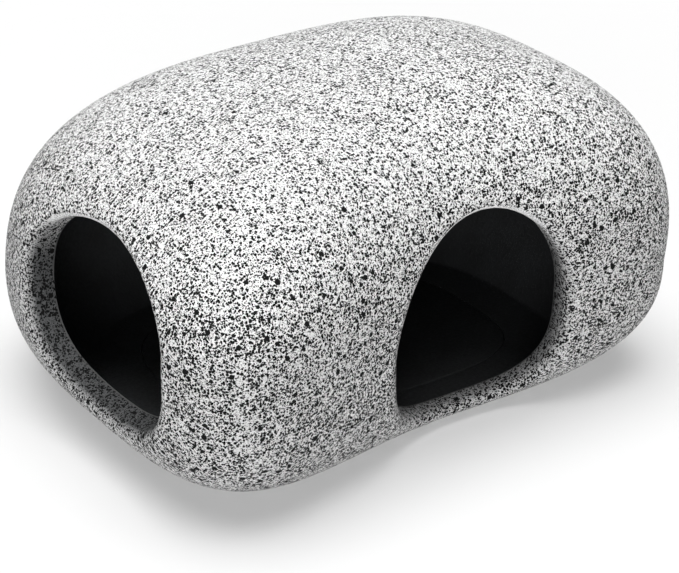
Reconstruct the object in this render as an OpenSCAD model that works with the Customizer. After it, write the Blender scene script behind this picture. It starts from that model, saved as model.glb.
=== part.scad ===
// Resin cave ornament: a hollow cast pebble with two entrances, closed underneath by a bonded floor plate.
// Millimetres, +Z up. The origin is on the table under the middle of the body, +X runs along the length
// and the larger entrance looks along -Y.

/* [Body] */
// Overall length of the pebble, end to end
body_l = 180; // [160:5:220]
// Overall width of the pebble, front to back
body_w = 150; // [135:5:180]
// Overall height of the pebble, table to crown
body_h = 100; // [90:5:120]
// Thickness of the cast wall
wall_t = 9; // [7:0.5:10]
// How far the ends bend forward of the middle, in half widths
bend = 0.26; // [0.15:0.01:0.3]

/* [Pebble shape] */
// Squareness of the plan outline, where 2 is an ellipse
plan_power = 3.1; // [2.4:0.1:3.6]
// Squareness of the upright sections, where 2 is an ellipse
side_power = 2.5; // [2.2:0.1:3]
// Height of the widest ring, as a share of the overall height
waist_share = 0.36; // [0.3:0.01:0.42]
// Depth of the whole under-curve against what stands above the table
root_depth = 1.3; // [1.25:0.01:1.4]
// Loss of half width from one end to the middle
girth_taper = 0.12; // [0:0.01:0.15]
// Gain of half width towards both ends
girth_flare = 0.19; // [0:0.01:0.22]
// Gain of crown height from the middle to the right end
crown_taper = 0.075; // [0:0.005:0.1]
// Gain of crown height towards both ends
crown_flare = 0.085; // [0:0.005:0.1]
// Lean of the crown towards the front, in half widths over the whole height
lean = 0.22; // [0:0.01:0.25]

/* [Side entrance] */
// Place of its middle, front to back
side_y = -14.6; // [-18:0.1:-10]
// Width at its widest
side_w = 70.6; // [50:0.1:72]
// Height of its sill above the table, at the outer skin
side_sill = 21; // [18:0.1:30]
// Height of its widest place above the table
side_spring = 49.7; // [40:0.1:55]
// Height of its top above the table
side_top = 70.5; // [60:0.1:72]
// Squareness of its upper half, where 2 is an ellipse
side_upper = 2; // [1.8:0.1:2.6]
// Squareness of its lower half
side_lower = 2.8; // [2:0.1:3.4]
// Lean of the arch towards the back, as a slope
side_lean = 0.11; // [0:0.01:0.15]
// Rise of the sill on its way in, as a slope
side_ramp = 0.29; // [0:0.01:0.4]

/* [Front entrance] */
// Place of its middle, left to right
front_x = 10.5; // [0:0.1:14]
// Width at its widest
front_w = 59; // [45:0.1:62]
// Height of its sill above the table
front_sill = 7; // [6.8:0.1:14]
// Height of its widest place above the table
front_spring = 36; // [30:0.5:45]
// Height of its top above the table
front_top = 70.5; // [60:0.1:72]
// Squareness of its upper half, where 2 is an ellipse
front_upper = 2; // [1.8:0.1:2.6]
// Squareness of its lower half
front_lower = 2.9; // [2:0.1:4]
// Turn of the passage to the right on its way in, as a slope
front_veer = 0.22; // [0:0.01:0.3]

/* [Base] */
// Thickness of the floor plate
plate_t = 4; // [3.5:0.1:4.2]
// Clearance of the shell's bottom rim above the table
rim_lift = 1; // [0.5:0.1:1.5]
// Width of the adhesive bead around the floor plate
bead_w = 1.2; // [0.8:0.1:2]
// Thickness of the black sealing coat inside
coat_t = 0.8; // [0.6:0.1:1]
// Radius that rolls the outer edge of both entrances
rim_r = 4; // [1:0.5:5]

/* [Hidden] */

plan_steps = 60;                    // points round each ring of the skin
side_steps = 20;                    // rings from the bottom edge to the crown
door_steps = 48;                    // points round each entrance
roll_steps = 4;                     // rings across each rolled edge
search_steps = 24;                  // halvings that find the skin along a line
half_l = body_l / 2;
reach = body_l;                     // a length that always ends outside the body
seat_t = 1.2;                       // thickness of the ledge that the floor plate bears on
floor_z = plate_t + seat_t;         // inside floor level
rebate_share = 0.66;                // floor plate's rebate, as a share of the plan outline
mouth_share = 0.58;                 // mould mouth inside the ledge, as a share of the plan outline
plug_gap = 0.2;                     // clearance round the floor plate's plug
floor_gain = 0.25;                  // share of the wall that thins the shell under the widest ring
side_plane = half_l - 5;            // where the side entrance's outline is given, out from the middle
front_plane = 0.4 * body_w;         // where the front entrance's outline is given, out from the middle
passage_from = 30;                  // where both cutters begin, out from the middle

// A closed curve |u|^n + |v|^n = 1 read at an angle: its distance from the middle.
function power_radius(a, n) = pow(pow(abs(cos(a)), n) + pow(abs(sin(a)), n), -1 / n);

// How the unit pebble changes along its length, for t from -1 to 1.
function centre_line(t) = bend * (0.5 - t * t);
function girth(t) = 1 - girth_taper * t + girth_flare * t * t;
function crown(t) = 1 + crown_taper * t + crown_flare * t * t;

// Height of a section point, where s is negative below the widest ring.
function unit_z(t, s) = waist_share + (s > 0 ? (1 - waist_share) * crown(t) : waist_share * root_depth) * s;
function unit_y(t, v, z) = centre_line(t) + girth(t) * v - lean * max(z - waist_share, 0);

// The unit pebble's own extents, which scale it to the overall sizes.
unit_skin = [
    for (b = [0 : 3 : 90], a = [0 : 3 : 357])
        let (rho = power_radius(b, side_power) * cos(b))
        let (s = power_radius(b, side_power) * sin(b))
        let (t = rho * power_radius(a, plan_power) * cos(a))
        let (z = unit_z(t, s))
        [unit_y(t, rho * power_radius(a, plan_power) * sin(a), z), z]
];
unit_front = min([for (p = unit_skin) p.x]);
unit_back = max([for (p = unit_skin) p.x]);
half_w = body_w / (unit_back - unit_front);
mid_y = (unit_front + unit_back) / 2 * half_w;
tall = body_h / max([for (p = unit_skin) p.y]);
waist_z = waist_share * tall;
root_z = waist_z * root_depth;

// A point of the skin, or of the same form taken in by some amount.
// u and v are shares of the half length and half width, s is the share of the height.
function skin_point(u, v, s, inset, root_inset) =
    let (x = u * (half_l - inset))
    let (t = x / half_l)
    let (rise = s > 0 ? (tall - waist_z) * crown(t) - inset : root_z - root_inset)
    let (z = waist_z + rise * s)
    [x, half_w * centre_line(t) + (half_w * girth(t) - inset) * v
        - lean * half_w / tall * max(z - waist_z, 0) - mid_y, z];

// Angle, seen from the widest ring, at which a form meets the level z.
function level_angle(z, root_inset) =
    let (s = (waist_z - z) / (root_z - root_inset))
    -atan2(s, pow(1 - pow(s, side_power), 1 / side_power));

// One ring of a form, read at the angle b above the widest ring.
function skin_ring(b, inset, root_inset) =
    let (rho = power_radius(b, side_power) * cos(b))
    let (s = power_radius(b, side_power) * sin(b))
    [for (i = [0 : plan_steps - 1])
        let (a = i * 360 / plan_steps)
        let (r = rho * power_radius(a, plan_power))
        skin_point(r * cos(a), r * sin(a), s, inset, root_inset)];

// A flat outline that keeps the pebble's plan: a share of it, taken in by some amount.
function plan_outline(share, inset) = [
    for (i = [0 : plan_steps - 1])
        let (a = i * 360 / plan_steps)
        let (r = power_radius(a, plan_power))
        let (x = r * cos(a) * (share * half_l - inset))
        let (t = x / half_l)
        [x, half_w * centre_line(t) + (share * half_w * girth(t) - inset) * r * sin(a) - mid_y]
];

// Whether a point lies inside the outer skin.
function inside(p) =
    let (t = p.x / half_l)
    let (above = p.z > waist_z)
    let (y = p.y + mid_y + lean * half_w / tall * max(p.z - waist_z, 0) - half_w * centre_line(t))
    let (v = y / (half_w * girth(t)))
    let (s = abs(p.z - waist_z) / (above ? (tall - waist_z) * crown(t) : root_z))
    pow(pow(abs(t), plan_power) + pow(abs(v), plan_power), side_power / plan_power)
        + pow(s, side_power) < 1;

// Distance from the point p, along the direction d, to the outer skin.
function skin_distance(p, d, near = 0, far = reach, steps = search_steps) =
    let (mid = (near + far) / 2)
    steps == 0 ? mid
    : inside(p + mid * d) ? skin_distance(p, d, mid, far, steps - 1)
    : skin_distance(p, d, near, mid, steps - 1);

// Stacked rings of equal count, closed by flat ends, as one solid.
module ring_stack(rings) {
    n = len(rings[0]);
    last = len(rings) - 1;
    sides = [
        for (j = [0 : last - 1], i = [0 : n - 1])
            let (k = (i + 1) % n)
            each [
                [j * n + i, (j + 1) * n + i, (j + 1) * n + k],
                [j * n + i, (j + 1) * n + k, j * n + k]
            ]
    ];
    ends = [[for (i = [0 : n - 1]) i], [for (i = [n - 1 : -1 : 0]) last * n + i]];
    polyhedron(points = [for (r = rings) each r], faces = concat(sides, ends), convexity = 6);
}

// The pebble's form, cut flat at the level z and taken in by some amount.
module pebble(z, inset = 0, root_inset = 0) {
    low = level_angle(z, root_inset);
    top = 89.9;
    ring_stack([for (j = [0 : side_steps]) skin_ring(low + (top - low) * j / side_steps, inset, root_inset)]);
}

// Outline of an entrance: an arch over a flatter sill, grown outwards by e.
function arch(a, w, sill, spring, top, upper, lower, e) =
    let (up = sin(a) > 0)
    let (r = power_radius(a, up ? upper : lower))
    [r * cos(a) * (w / 2 + e), spring + r * sin(a) * ((up ? top - spring : spring - sill) + e)];

// A cutter for an entrance. place(q, d) puts the outline point q at the distance d out from the middle.
module door_cutter(outline, place) {
    function roll_depth(e) = rim_r - sqrt(rim_r * rim_r - pow(rim_r - e, 2));
    function points(e) = [for (i = [0 : door_steps - 1]) outline(-i * 360 / door_steps, e)];
    function flat_ring(e, d) = [for (q = points(e)) place(q, d)];
    function skin_ring_at(e) = [
        for (q = points(e))
            let (out = place(q, 1) - place(q, 0))
            place(q, skin_distance(place(q, 0), out) - roll_depth(e))
    ];
    rolled = [for (k = [0 : roll_steps]) skin_ring_at(rim_r * (1 - cos(90 * k / roll_steps)))];
    ring_stack(concat([flat_ring(0, passage_from)], rolled, [flat_ring(rim_r, reach)]));
}

module side_door() {
    function drop(z) = side_ramp * (side_top - z) / (side_top - side_sill);
    door_cutter(
        function (a, e) arch(a, side_w, side_sill, side_spring, side_top, side_upper, side_lower, e),
        function (q, d) [
            -d,
            side_y + q.x + side_lean * (q.y - side_spring),
            q.y - drop(q.y) * (d - side_plane)
        ]
    );
}

module front_door() {
    door_cutter(
        function (a, e) arch(-a, front_w, front_sill, front_spring, front_top, front_upper, front_lower, e),
        function (q, d) [front_x + q.x - front_veer * (d - front_plane), -d, q.y]
    );
}

// Cast shell: the pebble, hollowed, with both entrances and a rebated mould mouth underneath.
module cave_shell() {
    color([0.72, 0.72, 0.71]) resize([0, 0, 0]) difference() {
        pebble(rim_lift);
        pebble(floor_z, wall_t, floor_gain * wall_t);
        side_door();
        front_door();
        translate([0, 0, -1]) linear_extrude(floor_z + 2) polygon(plan_outline(mouth_share, 0));
        translate([0, 0, -1]) linear_extrude(plate_t + 1) polygon(plan_outline(rebate_share, 0));
    }
}

// Floor plate: its flange sits in the rebate and carries the ornament, and its plug fills the mould mouth.
module floor_plate() {
    color([0.34, 0.34, 0.34]) {
        linear_extrude(plate_t) polygon(plan_outline(rebate_share, bead_w));
        linear_extrude(floor_z) polygon(plan_outline(mouth_share, plug_gap));
    }
}

// Adhesive bead between the floor plate's edge and the rebate.
module bond_bead() {
    outer = plan_outline(rebate_share, 0);
    inner = plan_outline(rebate_share, bead_w);
    n = plan_steps;
    color([0.12, 0.12, 0.13]) translate([0, 0, rim_lift]) linear_extrude(plate_t - rim_lift)
        polygon(concat(outer, inner), [[for (i = [0 : n - 1]) i], [for (i = [0 : n - 1]) n + i]]);
}

// Black sealing coat on the cavity's wall and on the ledge round the mould mouth.
module cavity_lining() {
    color([0.07, 0.07, 0.075]) resize([0, 0, 0]) difference() {
        pebble(floor_z, wall_t, floor_gain * wall_t);
        pebble(floor_z + coat_t, wall_t + coat_t, floor_gain * wall_t + coat_t);
        side_door();
        front_door();
        translate([0, 0, floor_z - 1]) linear_extrude(coat_t + 2) polygon(plan_outline(mouth_share, 0));
    }
}

// Black sealing coat on the floor plate's plug, level with the coat on the shell's floor.
module floor_coat() {
    color([0.07, 0.07, 0.075]) translate([0, 0, floor_z])
        linear_extrude(coat_t) polygon(plan_outline(mouth_share, plug_gap));
}

cave_shell();
floor_plate();
bond_bead();
cavity_lining();
floor_coat();
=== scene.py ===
"""A resin cave ornament: a hollow granite-look pebble with two entrances and a bonded floor plate.

Lengths inside the shape functions are millimetres, and MM turns them into Blender's metres.
"""

import bpy
import numpy as np
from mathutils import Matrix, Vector


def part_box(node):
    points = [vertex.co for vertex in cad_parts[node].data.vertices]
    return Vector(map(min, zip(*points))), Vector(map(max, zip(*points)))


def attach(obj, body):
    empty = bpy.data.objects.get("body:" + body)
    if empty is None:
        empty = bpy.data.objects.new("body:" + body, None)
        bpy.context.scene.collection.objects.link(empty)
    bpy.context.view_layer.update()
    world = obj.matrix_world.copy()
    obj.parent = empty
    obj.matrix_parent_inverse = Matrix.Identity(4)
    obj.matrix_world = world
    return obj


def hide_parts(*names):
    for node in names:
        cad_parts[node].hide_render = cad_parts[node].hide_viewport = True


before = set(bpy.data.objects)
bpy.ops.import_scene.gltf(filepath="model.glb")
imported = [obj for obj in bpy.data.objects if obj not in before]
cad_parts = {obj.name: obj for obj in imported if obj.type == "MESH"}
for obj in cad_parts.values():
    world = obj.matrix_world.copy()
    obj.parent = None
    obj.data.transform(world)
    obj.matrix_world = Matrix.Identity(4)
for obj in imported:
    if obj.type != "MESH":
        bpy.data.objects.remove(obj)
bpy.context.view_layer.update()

MM = 0.001


def box_mm(node):
    """Lowest and highest corner of a CAD node, in millimetres."""
    low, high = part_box(node)
    return np.array(low) / MM, np.array(high) / MM


# ---------------------------------------------------------------- sizes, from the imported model

shell_low, shell_high = box_mm("cave_shell")
plate_high = box_mm("floor_plate")[1]
lining_low, lining_high = box_mm("cavity_lining")
bead_high = box_mm("bond_bead")[1]
coat_low, coat_high = box_mm("floor_coat")

HALF_L = shell_high[0]
BODY_W = shell_high[1] - shell_low[1]
BODY_H = shell_high[2]
WALL = HALF_L - lining_high[0]
RIM_LIFT = shell_low[2]
SEAT_Z = bead_high[2]
FLOOR_Z = lining_low[2]
COAT_T = coat_high[2] - coat_low[2]
BEAD_W = bead_high[0] - plate_high[0]
REBATE = bead_high[0] / HALF_L
PLUG_GAP = 0.2
MOUTH = (coat_high[0] + PLUG_GAP) / HALF_L

# ---------------------------------------------------------------- the pebble's form, as in the CAD model

BEND = 0.26
PLAN_POWER = 3.1
SIDE_POWER = 2.5
WAIST_SHARE = 0.36
ROOT_DEPTH = 1.3
GIRTH_TAPER, GIRTH_FLARE = 0.12, 0.19
CROWN_TAPER, CROWN_FLARE = 0.075, 0.085
LEAN = 0.22
FLOOR_GAIN = 0.25
ROLL_R = 4.0
FACET_DEG = 3


def centre_line(t):
    return BEND * (0.5 - t * t)


def girth(t):
    return 1 - GIRTH_TAPER * t + GIRTH_FLARE * t * t


def crown(t):
    return 1 + CROWN_TAPER * t + CROWN_FLARE * t * t


def power_radius(a, n):
    """Distance from the middle of the curve |u|^n + |v|^n = 1 at the angle a."""
    return (np.abs(np.cos(a)) ** n + np.abs(np.sin(a)) ** n) ** (-1 / n)


def unit_extents():
    """Front, back and top of the unit pebble, which scale it to the overall sizes."""
    rises = np.radians(np.arange(0, 90 + FACET_DEG, FACET_DEG))
    turns = np.radians(np.arange(0, 360, FACET_DEG))
    b, a = np.meshgrid(rises, turns, indexing="ij")
    rho = power_radius(b, SIDE_POWER) * np.cos(b)
    s = power_radius(b, SIDE_POWER) * np.sin(b)
    t = rho * power_radius(a, PLAN_POWER) * np.cos(a)
    z = WAIST_SHARE + (1 - WAIST_SHARE) * crown(t) * s
    v = rho * power_radius(a, PLAN_POWER) * np.sin(a)
    y = centre_line(t) + girth(t) * v - LEAN * np.maximum(z - WAIST_SHARE, 0)
    return y.min(), y.max(), z.max()


unit_front, unit_back, unit_top = unit_extents()
HALF_W = BODY_W / (unit_back - unit_front)
MID_Y = (unit_front + unit_back) / 2 * HALF_W
TALL = BODY_H / unit_top
WAIST_Z = WAIST_SHARE * TALL
ROOT_Z = WAIST_Z * ROOT_DEPTH


def pebble_level(p, inset=0.0, root_inset=0.0):
    """Below 0 inside the pebble taken in by inset, 0 on its skin, above 0 outside."""
    x, y, z = p[..., 0], p[..., 1], p[..., 2]
    t = x / HALF_L
    above = z > WAIST_Z
    lean = LEAN * HALF_W / TALL * np.maximum(z - WAIST_Z, 0)
    u = np.abs(x) / (HALF_L - inset)
    v = np.abs(y + MID_Y + lean - HALF_W * centre_line(t)) / (HALF_W * girth(t) - inset)
    rise = np.where(above, (TALL - WAIST_Z) * crown(t) - inset, ROOT_Z - root_inset)
    s = np.abs(z - WAIST_Z) / rise
    plan = (u**PLAN_POWER + v**PLAN_POWER) ** (SIDE_POWER / PLAN_POWER)
    return (plan + s**SIDE_POWER) ** (1 / SIDE_POWER) - 1


OUTLINE_STEPS = 240


def plan_outline(share, inset):
    """A flat outline with the pebble's plan: a share of it, taken in by inset."""
    a = np.arange(OUTLINE_STEPS) * 2 * np.pi / OUTLINE_STEPS
    r = power_radius(a, PLAN_POWER)
    x = r * np.cos(a) * (share * HALF_L - inset)
    t = x / HALF_L
    y = HALF_W * centre_line(t) + (share * HALF_W * girth(t) - inset) * r * np.sin(a)
    return np.stack([x, y - MID_Y], -1)


# ---------------------------------------------------------------- the two entrances

SIDE = dict(
    y=-14.6, w=70.6, sill=21.0, spring=49.7, top=70.5, upper=2.0, lower=2.8, lean=0.11, ramp=0.29
)
FRONT = dict(x=10.5, w=59.0, sill=7.0, spring=36.0, top=70.5, upper=2.0, lower=2.9, veer=0.22)
SIDE_PLANE = HALF_L - 5
FRONT_PLANE = 0.4 * BODY_W


def arch_level(u, z, door):
    """Below 0 inside the arch's outline, in the plane where the entrance is given."""
    up = z > door["spring"]
    h = np.where(up, door["top"] - door["spring"], door["spring"] - door["sill"])
    n = np.where(up, door["upper"], door["lower"])
    return (np.abs(u / (door["w"] / 2)) ** n + np.abs((z - door["spring"]) / h) ** n) ** (1 / n) - 1


def side_level(p):
    out = -p[..., 0] - SIDE_PLANE
    drop = SIDE["ramp"] / (SIDE["top"] - SIDE["sill"]) * out
    z = (p[..., 2] + drop * SIDE["top"]) / (1 + drop)
    u = p[..., 1] - SIDE["y"] - SIDE["lean"] * (z - SIDE["spring"])
    return np.where(p[..., 0] < 0, arch_level(u, z, SIDE), 2.0)


def front_level(p):
    out = -p[..., 1] - FRONT_PLANE
    u = p[..., 0] - FRONT["x"] + FRONT["veer"] * out
    return np.where(p[..., 1] < 0, arch_level(u, p[..., 2], FRONT), 2.0)


# ---------------------------------------------------------------- distances and the shell's solid

PROBE = 0.05
FLATTEST = 1e-8


def distance(level, p):
    """First-order distance to the surface where level is 0."""
    here = level(p)
    slope = np.zeros_like(here)
    for axis in range(3):
        q = p.copy()
        q[..., axis] += PROBE
        slope += ((level(q) - here) / PROBE) ** 2
    return here / np.sqrt(np.maximum(slope, FLATTEST))


def rounded_max(a, b, r):
    """Intersection of two solids whose shared outer edge has the radius r."""
    return np.minimum(np.maximum(a, b), -r) + np.hypot(np.maximum(a + r, 0), np.maximum(b + r, 0))


def outer_distance(p):
    return distance(pebble_level, p)


def cavity_distance(p, coat=0.0):
    def level(q):
        return pebble_level(q, WALL + coat, FLOOR_GAIN * WALL + coat)

    return np.maximum(distance(level, p), FLOOR_Z + coat - p[..., 2])


def door_distance(p):
    return np.minimum(distance(side_level, p), distance(front_level, p))


def plan_distance(p, share):
    """Distance from an upright wall with the pebble's plan, a share of its full size."""

    def level(q):
        t = q[..., 0] / HALF_L
        u = np.abs(t) / share
        across = q[..., 1] + MID_Y - HALF_W * centre_line(t)
        v = np.abs(across) / (share * HALF_W * girth(t))
        return (u**PLAN_POWER + v**PLAN_POWER) ** (1 / PLAN_POWER) - 1

    return distance(level, p)


def mouth_distance(p):
    """Below 0 in the opening that the floor plate closes, up to the middle of the cavity."""
    return np.maximum(plan_distance(p, MOUTH), p[..., 2] - WAIST_Z)


# The skin is lowered a little, so that it stays inside the CAD model's box.
SKIN_DROP = 0.12
SILL_EDGE_R = 0.15
BOTTOM_EDGE_R = 0.2
SEAT_EDGE_R = 0.15


def shell_distance(p):
    """Above 0 in the air, below 0 in the cast wall."""
    skin = rounded_max(outer_distance(p) + SKIN_DROP, -door_distance(p), ROLL_R)
    wall = rounded_max(skin, -cavity_distance(p), SILL_EDGE_R)
    rim = rounded_max(wall, RIM_LIFT - p[..., 2], BOTTOM_EDGE_R)
    rebate = np.maximum(plan_distance(p, REBATE), p[..., 2] - SEAT_Z)
    seat = rounded_max(rim, -rebate, SEAT_EDGE_R)
    return rounded_max(seat, -mouth_distance(p), SEAT_EDGE_R)


# ---------------------------------------------------------------- surfaces from distances


def surface_net(solid, low, high, step):
    """Quads round the solid's skin: a vertex in each grid cell that the skin crosses."""
    low = np.array(low, float)
    shape = np.ceil((np.array(high) - low) / step).astype(int) + 1
    ticks = [low[i] + step * np.arange(shape[i]) for i in range(3)]
    values = np.empty(shape, np.float32)
    for i, x in enumerate(ticks[0]):
        y, z = np.meshgrid(ticks[1], ticks[2], indexing="ij")
        values[i] = solid(np.stack([np.full_like(y, x), y, z], -1))
    cells = shape - 1
    total = int(np.prod(cells))
    sums = np.zeros((total, 3))
    counts = np.zeros(total)
    quads = []
    for a in range(3):
        b, c = (a + 1) % 3, (a + 2) % 3
        here = np.take(values, range(shape[a] - 1), axis=a)
        there = np.take(values, range(1, shape[a]), axis=a)
        edge = np.argwhere((here < 0) != (there < 0))
        f0 = here[tuple(edge.T)]
        f1 = there[tuple(edge.T)]
        at = edge.astype(float)
        at[:, a] += f0 / (f0 - f1)
        corners = []
        for ob, oc in ((0, 0), (-1, 0), (-1, -1), (0, -1)):
            cell = edge.copy()
            cell[:, b] += ob
            cell[:, c] += oc
            flat = np.ravel_multi_index(tuple(cell.T), tuple(cells))
            for k in range(3):
                sums[:, k] += np.bincount(flat, at[:, k], total)
            counts += np.bincount(flat, minlength=total)
            corners.append(flat)
        quad = np.stack(corners, -1)
        quad[f0 > 0] = quad[f0 > 0][:, ::-1]
        quads.append(quad)
    used = np.nonzero(counts)[0]
    index = np.full(total, -1)
    index[used] = np.arange(len(used))
    points = low + step * sums[used] / counts[used, None]
    return points, index[np.concatenate(quads)]


GENTLEST = 0.05
LONGEST_MOVE = 1.0


def settle(points, solid, rounds=3):
    """Moves points along the slope until they lie on the solid's skin."""
    for _ in range(rounds):
        here = solid(points)
        slope = np.zeros_like(points)
        for axis in range(3):
            q = points.copy()
            q[:, axis] += PROBE
            slope[:, axis] = (solid(q) - here) / PROBE
        size = np.maximum((slope**2).sum(1), GENTLEST)
        points = points - np.clip(here / size, -LONGEST_MOVE, LONGEST_MOVE)[:, None] * slope
    return points


SHARP_ANGLE = 40


def mesh_object(name, points, faces):
    """A Blender object from points in millimetres."""
    mesh = bpy.data.meshes.new(name)
    mesh.from_pydata((np.asarray(points) * MM).tolist(), [], [list(f) for f in faces])
    mesh.polygons.foreach_set("use_smooth", [True] * len(mesh.polygons))
    mesh.set_sharp_from_angle(angle=np.radians(SHARP_ANGLE))
    mesh.update()
    obj = bpy.data.objects.new(name, mesh)
    bpy.context.scene.collection.objects.link(obj)
    return obj


def point_attribute(obj, name, values):
    layer = obj.data.attributes.new(name, "FLOAT", "POINT")
    layer.data.foreach_set("value", np.asarray(values, np.float32))


# ---------------------------------------------------------------- pieces

# GRID is the step of the surface nets, and MARGIN the room left round each. FILM_T is the coat's
# thickness at the entrances, and FEATHER how far in from them it reaches its full thickness.
# COAT_GAP and FIT keep neighbouring pieces from sharing a face.
GRID = 1.0
MARGIN = 3.0
EDGE_REACH = 0.6 * GRID
EDGE_ROUNDS = 4
COAT_GAP = 0.01
FILM_T = 0.08
FEATHER = 6.0
FIT = 0.02


def grown(low, high):
    return low - MARGIN, high + MARGIN


def crisp_edges(points, pairs):
    """Pulls the points nearest to where two surfaces meet onto the line that they share."""
    for first, second in pairs:
        near = np.hypot(first(points), second(points)) < EDGE_REACH
        edge = points[near]
        for _ in range(EDGE_ROUNDS):
            edge = settle(edge, first, 1)
            edge = settle(edge, second, 1)
        points[near] = edge
    return points


def shell_piece():
    """The cast shell, with a soft roll round both entrances and crisp edges elsewhere."""
    points, faces = surface_net(shell_distance, *grown(shell_low, shell_high), GRID)
    points = settle(points, shell_distance)

    def skin(p):
        return outer_distance(p) + SKIN_DROP

    def rim(p):
        return p[..., 2] - RIM_LIFT

    def seat(p):
        return p[..., 2] - SEAT_Z

    def floor(p):
        return p[..., 2] - FLOOR_Z

    def rebate(p):
        return plan_distance(p, REBATE)

    def mouth(p):
        return plan_distance(p, MOUTH)

    pairs = [
        (door_distance, cavity_distance),
        (skin, rim),
        (rebate, rim),
        (mouth, seat),
        (mouth, floor),
    ]
    obj = mesh_object("speckled_shell", crisp_edges(points, pairs), faces)
    point_attribute(obj, "depth", -outer_distance(points))
    point_attribute(obj, "lip", cavity_distance(points))
    return obj


def air_distance(p):
    """Distance from the face of the black coat, which thins to a film at the entrances."""
    full = np.clip(door_distance(p) / FEATHER, 0, 1)
    return cavity_distance(p) + FILM_T + (COAT_T - FILM_T) * full * full * (3 - 2 * full)


def opening_distance(p):
    """Below 0 in the two passages and the mouth, where there is no coat."""
    return np.minimum(door_distance(p), mouth_distance(p))


def boundary(faces):
    """Ordered vertex pairs of the edges that only one quad has."""
    pairs = np.concatenate([np.stack([faces[:, k], faces[:, (k + 1) % 4]], -1) for k in range(4)])
    key = np.sort(pairs, -1)
    _, first, count = np.unique(key, axis=0, return_index=True, return_counts=True)
    return pairs[first[count == 1]]


def lining_piece():
    """The black coat inside, as a sheet with thickness that ends at the entrances and the mouth."""
    points, faces = surface_net(air_distance, *grown(lining_low, lining_high), GRID)
    points = settle(points, air_distance)
    middle = points[faces].mean(1)
    faces = faces[opening_distance(middle) > 0]
    used, faces = np.unique(faces, return_inverse=True)
    faces = faces.reshape(-1, 4)
    points = points[used]
    rim = boundary(faces)
    edge = np.unique(rim)
    for _ in range(EDGE_ROUNDS):
        points[edge] = settle(points[edge], opening_distance, 1)
        points[edge] = settle(points[edge], air_distance, 1)
    wall = settle(points, lambda p: cavity_distance(p, COAT_GAP))
    wall[edge] = settle(wall[edge], opening_distance, 1)
    count = len(points)
    rim_faces = np.stack([rim[:, 1], rim[:, 0], rim[:, 0] + count, rim[:, 1] + count], -1)
    faces = np.concatenate([faces[:, ::-1], faces + count, rim_faces[:, ::-1]])
    return mesh_object("cavity_coat", np.concatenate([points, wall]), faces)


def outline_ring(share, inset, z):
    flat = plan_outline(share, inset)
    return np.column_stack([flat, np.full(OUTLINE_STEPS, float(z))])


def loft(name, rings, loop=False):
    """Joins outlines in order from the bottom up, and caps the ends or joins them into a tube."""
    n = OUTLINE_STEPS
    count = len(rings)
    faces = []
    for k in range(count if loop else count - 1):
        low, high = k * n, (k + 1) % count * n
        faces += [(low + i, low + (i + 1) % n, high + (i + 1) % n, high + i) for i in range(n)]
    if not loop:
        faces.append(range(n)[::-1])
        faces.append(range((count - 1) * n, count * n))
    return mesh_object(name, np.concatenate(rings), faces)


def plate_piece():
    """The floor plate: a flange with eased edges, and the plug that fills the mould mouth."""
    ease = 0.5
    flange, top = BEAD_W, SEAT_Z - FIT
    return loft(
        "floor_plate_cast",
        [
            outline_ring(REBATE, flange + ease, 0),
            outline_ring(REBATE, flange + 0.3 * ease, 0.3 * ease),
            outline_ring(REBATE, flange, ease),
            outline_ring(REBATE, flange, top),
            outline_ring(MOUTH, PLUG_GAP, top),
            outline_ring(MOUTH, PLUG_GAP, FLOOR_Z),
        ],
    )


def bead_piece():
    """The adhesive in the slot round the plate, with a hollow face where it shrank."""
    inner, outer = BEAD_W - FIT, FIT
    top = SEAT_Z - FIT
    hollow = [(0.0, 0.0), (0.2, 0.5), (0.5, 0.75), (0.8, 0.5), (1.0, 0.0)]
    face = [
        outline_ring(REBATE, inner + (outer - inner) * across, RIM_LIFT + rise)
        for across, rise in hollow
    ]
    back = [outline_ring(REBATE, outer, top), outline_ring(REBATE, inner, top)]
    return loft("bond_bead_meniscus", face + back, loop=True)


def floor_coat_piece():
    """The black coat on the plug, with a rounded edge."""
    ease = 0.3
    top = FLOOR_Z + COAT_T
    return loft(
        "floor_coat_skin",
        [
            outline_ring(MOUTH, PLUG_GAP, FLOOR_Z + FIT),
            outline_ring(MOUTH, PLUG_GAP, top - ease),
            outline_ring(MOUTH, PLUG_GAP + 0.3 * ease, top - 0.3 * ease),
            outline_ring(MOUTH, PLUG_GAP + ease, top),
        ],
    )


# ---------------------------------------------------------------- materials


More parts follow.
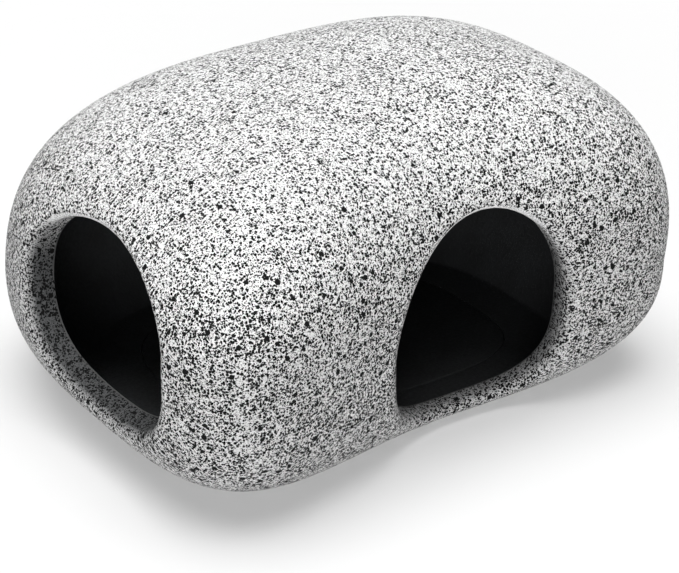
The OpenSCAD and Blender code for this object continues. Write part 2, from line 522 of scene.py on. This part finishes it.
class Graph:
    """A material's node tree, with short calls for the nodes it uses."""

    def __init__(self, name):
        self.material = bpy.data.materials.new(name)
        self.material.use_nodes = True
        self.tree = self.material.node_tree
        self.shader = self.tree.nodes["Principled BSDF"]

    def plug(self, socket, value):
        if isinstance(value, bpy.types.NodeSocket):
            self.tree.links.new(value, socket)
        else:
            socket.default_value = value

    def node(self, kind, output=0, **inputs):
        node = self.tree.nodes.new(kind)
        for key, value in inputs.items():
            if key in node.inputs:
                self.plug(node.inputs[key], value)
            else:
                setattr(node, key, value)
        return node.outputs[output]

    def math(self, operation, a, b=0.0, clamp=False):
        node = self.tree.nodes.new("ShaderNodeMath")
        node.operation = operation
        node.use_clamp = clamp
        self.plug(node.inputs[0], a)
        self.plug(node.inputs[1], b)
        return node.outputs[0]

    def noise(self, at, size, detail=2.0, rough=0.5):
        """Noise whose lumps are about size millimetres across."""
        return self.node(
            "ShaderNodeTexNoise", Vector=at, Scale=1 / (size * MM), Detail=detail, Roughness=rough
        )

    def ramp(self, value, low, high, out_low=0.0, out_high=1.0):
        node = self.tree.nodes.new("ShaderNodeMapRange")
        node.interpolation_type = "SMOOTHSTEP"
        for socket, number in zip(node.inputs[1:5], (low, high, out_low, out_high)):
            self.plug(socket, number)
        self.plug(node.inputs[0], value)
        return node.outputs[0]

    def mix(self, share, a, b):
        node = self.tree.nodes.new("ShaderNodeMix")
        node.data_type = "RGBA"
        self.plug(node.inputs[0], share)
        self.plug(node.inputs[6], a)
        self.plug(node.inputs[7], b)
        return node.outputs[2]

    def bump(self, height, deep):
        """Relief in which a height of 1 stands deep millimetres proud."""
        return self.node("ShaderNodeBump", Height=height, Distance=deep * MM, Strength=1.0)

    def surface(self, colour, grain, smooth, rough, relief, deep):
        """A colour, a roughness between smooth and rough that follows the grain, and a relief."""
        self.plug(self.shader.inputs["Base Color"], colour)
        self.plug(self.shader.inputs["Roughness"], self.ramp(grain, 0.3, 0.7, smooth, rough))
        self.plug(self.shader.inputs["Normal"], self.bump(relief, deep))
        return self.material


def grey(value, tint=0.0):
    """A grey of this reflectance, cooler as the tint rises."""
    return (value * (1 - tint), value, value * (1 + tint), 1)


# Each kind of grain has one cell per pitch in millimetres, the share of the cells that hold a grain,
# and a middle radius in pitches.
DARK_GRAINS = dict(pitch=0.78, share=0.72, radius=0.47)
FINE_GRAINS = dict(pitch=0.50, share=0.66, radius=0.45)
LARGE_GRAINS = dict(pitch=2.4, share=0.30, radius=0.28)
DUST_GRAINS = dict(pitch=0.27, share=0.30, radius=0.6)
SMALLEST, LARGEST = 0.75, 1.25
SHARE_BLUR = 0.005
GRAIN_BLUR = 0.03


def grains(g, at, kind, more=0.0):
    """1 on the grains of this kind and 0 between them, and a chance number for each cell."""
    cell = g.tree.nodes.new("ShaderNodeTexVoronoi")
    g.plug(cell.inputs["Vector"], at)
    g.plug(cell.inputs["Scale"], 1 / (kind["pitch"] * MM))
    split = g.tree.nodes.new("ShaderNodeSeparateColor")
    g.plug(split.inputs[0], cell.outputs["Color"])
    odds = g.math("SUBTRACT", g.math("ADD", more, kind["share"]), split.outputs[0])
    kept = g.ramp(odds, -SHARE_BLUR, SHARE_BLUR)
    radius = kind["radius"]
    reach = g.ramp(split.outputs[1], 0, 1, SMALLEST * radius, LARGEST * radius)
    inside = g.math("SUBTRACT", reach, cell.outputs["Distance"])
    spot = g.ramp(inside, -GRAIN_BLUR, GRAIN_BLUR)
    return g.math("MULTIPLY", kept, spot), split.outputs[2]


def ragged(g, at, size, reach):
    """Coordinates pushed about by reach millimetres, so that grains get ragged outlines."""
    push = g.node("ShaderNodeTexNoise", output=1, Vector=at, Scale=1 / (size * MM), Detail=2.0)
    centred = g.node("ShaderNodeVectorMath", operation="SUBTRACT")
    g.plug(centred.node.inputs[0], push)
    g.plug(centred.node.inputs[1], (0.5, 0.5, 0.5))
    scaled = g.node("ShaderNodeVectorMath", operation="SCALE", Vector=centred)
    g.plug(scaled.node.inputs["Scale"], reach * MM)
    total = g.node("ShaderNodeVectorMath", operation="ADD")
    g.plug(total.node.inputs[0], at)
    g.plug(total.node.inputs[1], scaled)
    return total


# Dark paint on the reveals, partly the black coat's overspray and partly painted shade in the
# entrances: its share for each millimetre of depth, at the side entrance and at the front one, and
# the heights between which it fades out. The side entrance gets more, as painted shade where less
# light reaches it.
SIDE_SPRAY_AND_SHADE, FRONT_SPRAY_AND_SHADE = 0.32, 0.10
SIDE_SHADE_END, FRONT_SHADE_START = -60 * MM, -30 * MM
SPRAY_AND_SHADE_POWER = 0.6
SPRAY_AND_SHADE_NONE_ABOVE, SPRAY_AND_SHADE_FULL_BELOW = 70 * MM, 48 * MM
SPRAY_AND_SHADE_NONE_BELOW, SPRAY_AND_SHADE_FULL_ABOVE = 1 * MM, 3 * MM


def spray_and_shade(g, along, height, depth):
    """The share of dark paint on the reveals, partly overspray and partly painted shade, from 0 on the
    skin to 1 deep inside.
    """
    gain = g.ramp(along, SIDE_SHADE_END, FRONT_SHADE_START, SIDE_SPRAY_AND_SHADE, FRONT_SPRAY_AND_SHADE)
    share = g.math("POWER", g.math("MULTIPLY", depth, gain, clamp=True), SPRAY_AND_SHADE_POWER)
    below_top = g.ramp(height, SPRAY_AND_SHADE_NONE_ABOVE, SPRAY_AND_SHADE_FULL_BELOW)
    above_rim = g.ramp(height, SPRAY_AND_SHADE_NONE_BELOW, SPRAY_AND_SHADE_FULL_ABOVE)
    return g.math("MULTIPLY", share, g.math("MULTIPLY", below_top, above_rim))


# How far the share of cells that hold a grain rises or falls from place to place.
DRIFT_SIZE, DRIFT = 14.0, 0.03
CLUMP_SIZE, CLUMP = 2.6, 0.04
# Fewer dark grains towards the top: a painted sheen, the top lighter as the overhead light makes it.
TOP_SHEEN_LOSS = 0.26
TOP_SHEEN_START, TOP_SHEEN_END = 55 * MM, 92 * MM
# Fewer grains on the reveals' dark paint, which is partly painted shade.
SPRAY_AND_SHADE_LOSS = 0.12
# Fewer dark grains on the upper roll round the entrances: a painted highlight along their top edge.
ROLL_HIGHLIGHT_START, ROLL_HIGHLIGHT_END = 60 * MM, 66 * MM
ROLL_START, ROLL_END = (0.8, 1.4), (4.0, 2.5)


def density(g, at, height, depth, sprayed_and_shaded):
    """What is added to the grains' share: fewer high up, as a painted sheen; fewer on the reveals' dark
    paint, which is partly painted shade; and fewer on the upper roll, as a painted highlight.
    """
    drift = g.ramp(g.noise(at, DRIFT_SIZE, 2.0), 0.35, 0.65, -DRIFT, DRIFT)
    clump = g.ramp(g.noise(at, CLUMP_SIZE, 1.0), 0.3, 0.7, -CLUMP, CLUMP)
    on_roll = g.math("MULTIPLY", g.ramp(depth, *ROLL_START), g.ramp(depth, *ROLL_END))
    # Painted highlight: fewer grains on the upper roll.
    roll_highlight = g.math("MULTIPLY", on_roll, g.ramp(height, ROLL_HIGHLIGHT_START, ROLL_HIGHLIGHT_END))
    more = g.math("SUBTRACT", g.math("ADD", drift, clump), roll_highlight)
    # Painted sheen: fewer grains high up.
    more = g.math("ADD", more, g.ramp(height, TOP_SHEEN_START, TOP_SHEEN_END, 0.0, -TOP_SHEEN_LOSS))
    return g.math("SUBTRACT", more, g.math("MULTIPLY", sprayed_and_shaded, SPRAY_AND_SHADE_LOSS))


GRAIN_GREY = 0.008
DUST_GREY = 0.25
GROUND_GREYS = 0.67, 0.93
# The reveals' dark greys: partly the black coat's overspray, partly painted shade.
SPRAY_AND_SHADE_GREYS = 0.05, 0.12
SPRAY_AND_SHADE_TINT = 0.02
EDGE_GREY = 0.09
EDGE_FADE, EDGE_DEPTH = (0.4, 0.25), (4.0, 6.0)
RAGGED_SIZE, RAGGED_REACH = 0.35, 0.4
GRAIN_DIP = 0.4
RESIN_SHINE = 0.06


def speckled_resin():
    g = Graph("speckled_resin")
    at = g.node("ShaderNodeTexCoord", output=3)
    depth = g.node("ShaderNodeAttribute", output=2, attribute_name="depth")
    lip = g.node("ShaderNodeAttribute", output=2, attribute_name="lip")
    along, _, height = g.node("ShaderNodeSeparateXYZ", Vector=at).node.outputs
    # The reveals darken with depth: partly the black coat's overspray, partly painted shade.
    sprayed_and_shaded = spray_and_shade(g, along, height, depth)
    rough_at = ragged(g, at, RAGGED_SIZE, RAGGED_REACH)
    more = density(g, at, height, depth, sprayed_and_shaded)
    dark = grains(g, rough_at, DARK_GRAINS, more)[0]
    fine = grains(g, rough_at, FINE_GRAINS, more)[0]
    large = grains(g, rough_at, LARGE_GRAINS, more)[0]
    spots = g.math("MAXIMUM", g.math("MAXIMUM", dark, large), fine)
    dust, light = grains(g, at, DUST_GRAINS)
    ground = g.mix(light, *[grey(value) for value in GROUND_GREYS])
    ground = g.mix(dust, ground, grey(DUST_GREY))
    spray_and_shade_colour = g.mix(light, *[grey(value, SPRAY_AND_SHADE_TINT) for value in SPRAY_AND_SHADE_GREYS])
    # Mixes in the reveals' dark paint, which is partly painted shade.
    colour = g.mix(spots, g.mix(sprayed_and_shaded, ground, spray_and_shade_colour), grey(GRAIN_GREY))
    at_edge = g.math("MULTIPLY", g.ramp(lip, *EDGE_FADE), g.ramp(depth, *EDGE_DEPTH))
    colour = g.mix(at_edge, colour, grey(EDGE_GREY))
    grain = g.noise(at, 0.7, 3.0, 0.6)
    relief = g.math("SUBTRACT", grain, g.math("MULTIPLY", spots, GRAIN_DIP))
    g.plug(g.shader.inputs["Specular IOR Level"], RESIN_SHINE)
    return g.surface(colour, grain, 0.6, 0.85, relief, 0.05)


COAT_GREY = 0.03


def black_coat(name):
    g = Graph(name)
    at = g.node("ShaderNodeTexCoord", output=3)
    cloud = g.noise(at, 9.0, 3.0)
    grain = g.noise(at, 0.9, 3.0, 0.6)
    colour = g.mix(cloud, grey(0.6 * COAT_GREY), grey(1.4 * COAT_GREY, 0.08))
    return g.surface(colour, grain, 0.5, 0.75, grain, 0.08)


def plain_resin():
    g = Graph("plain_resin")
    at = g.node("ShaderNodeTexCoord", output=3)
    cloud = g.noise(at, 14.0, 4.0)
    grain = g.noise(at, 0.8, 3.0, 0.6)
    return g.surface(g.mix(cloud, grey(0.5), grey(0.66)), grain, 0.6, 0.85, grain, 0.05)


def adhesive():
    g = Graph("adhesive")
    at = g.node("ShaderNodeTexCoord", output=3)
    cloud = g.noise(at, 5.0, 2.0)
    return g.surface(g.mix(cloud, grey(0.10), grey(0.18)), cloud, 0.3, 0.45, cloud, 0.3)


def finish_piece(obj, material, node):
    obj.data.materials.append(material)
    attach(obj, "root")
    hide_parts(node)


finish_piece(shell_piece(), speckled_resin(), "cave_shell")
finish_piece(lining_piece(), black_coat("black_coat"), "cavity_lining")
finish_piece(plate_piece(), plain_resin(), "floor_plate")
finish_piece(bead_piece(), adhesive(), "bond_bead")
finish_piece(floor_coat_piece(), black_coat("floor_black"), "floor_coat")

# ---------------------------------------------------------------- stage, camera and light

AZIMUTH, ELEVATION = np.radians(-34.0), np.radians(26.7)
TARGET = Vector((0.00127, -0.00438, 0.02783))
CAMERA_AWAY = 0.7107
LENS, SENSOR = 128.4, 36

FLOOR_HALF = 3.0
TABLE_Z = -0.05 * MM
FLOOR_GREYS = 0.49, 0.51
FLOOR_GLOW = 0.31

FILL_AZIMUTH, FILL_ELEVATION = np.radians(-40.0), np.radians(10.0)
FILL_AWAY = 1.3
FILL_SIZE = 0.6
FILL_POWER = 6.0

DOME_AZIMUTH, DOME_ELEVATION = np.radians(-80), np.radians(87)
DOME_LOW, DOME_HIGH = 0.05, 6.6
DOME_FADE_START, DOME_FADE_END = 0.8, 0.99


def direction(azimuth, elevation):
    """Unit vector from the object towards a camera or light."""
    flat = np.cos(elevation)
    return Vector((flat * np.sin(azimuth), -flat * np.cos(azimuth), np.sin(elevation)))


def aim(obj, at):
    obj.rotation_euler = (at - obj.location).to_track_quat("-Z", "Y").to_euler()


def add_camera():
    data = bpy.data.cameras.new("camera")
    data.lens = LENS
    data.sensor_width = SENSOR
    camera = bpy.data.objects.new("camera", data)
    camera.location = TARGET + CAMERA_AWAY * direction(AZIMUTH, ELEVATION)
    aim(camera, TARGET)
    bpy.context.scene.collection.objects.link(camera)
    bpy.context.scene.camera = camera


def add_floor():
    """The table, just below the part, so that it shares no face with the floor plate."""
    half, z = FLOOR_HALF, TABLE_Z
    corners = [(-half, -half, z), (half, -half, z), (half, half, z), (-half, half, z)]
    mesh = bpy.data.meshes.new("floor")
    mesh.from_pydata(corners, [], [(0, 1, 2, 3)])
    floor = bpy.data.objects.new("floor", mesh)
    bpy.context.scene.collection.objects.link(floor)
    g = Graph("pale_floor")
    at = g.node("ShaderNodeTexCoord", output=3)
    colour = g.mix(g.noise(at, 300.0), *[grey(value) for value in FLOOR_GREYS])
    g.plug(g.shader.inputs["Base Color"], colour)
    g.plug(g.shader.inputs["Roughness"], 0.9)
    g.plug(g.shader.inputs["Emission Color"], grey(1.0))
    g.plug(g.shader.inputs["Emission Strength"], FLOOR_GLOW)
    mesh.materials.append(g.material)


def add_fill():
    """A large soft light low beside the camera, which lights the front and reaches inside."""
    data = bpy.data.lights.new("fill", "AREA")
    data.energy = FILL_POWER
    data.size = FILL_SIZE
    light = bpy.data.objects.new("fill", data)
    light.location = TARGET + FILL_AWAY * direction(FILL_AZIMUTH, FILL_ELEVATION)
    aim(light, TARGET)
    bpy.context.scene.collection.objects.link(light)


def add_world():
    """A studio dome: dim at the horizon and bright towards the overhead softbox."""
    world = bpy.data.worlds.new("studio")
    world.use_nodes = True
    tree = world.node_tree
    look = tree.nodes.new("ShaderNodeTexCoord").outputs["Generated"]
    dot = tree.nodes.new("ShaderNodeVectorMath")
    dot.operation = "DOT_PRODUCT"
    dot.inputs[1].default_value = direction(DOME_AZIMUTH, DOME_ELEVATION)
    tree.links.new(look, dot.inputs[0])
    fade = tree.nodes.new("ShaderNodeMapRange")
    fade.interpolation_type = "SMOOTHSTEP"
    levels = (DOME_FADE_START, DOME_FADE_END, DOME_LOW, DOME_HIGH)
    for socket, number in zip(fade.inputs[1:5], levels):
        socket.default_value = number
    tree.links.new(dot.outputs["Value"], fade.inputs[0])
    background = tree.nodes["Background"]
    background.inputs["Color"].default_value = (1, 1, 1, 1)
    tree.links.new(fade.outputs[0], background.inputs["Strength"])
    bpy.context.scene.world = world


add_camera()
add_fill()
add_world()
add_floor()
bpy.context.scene.view_settings.view_transform = "Standard"
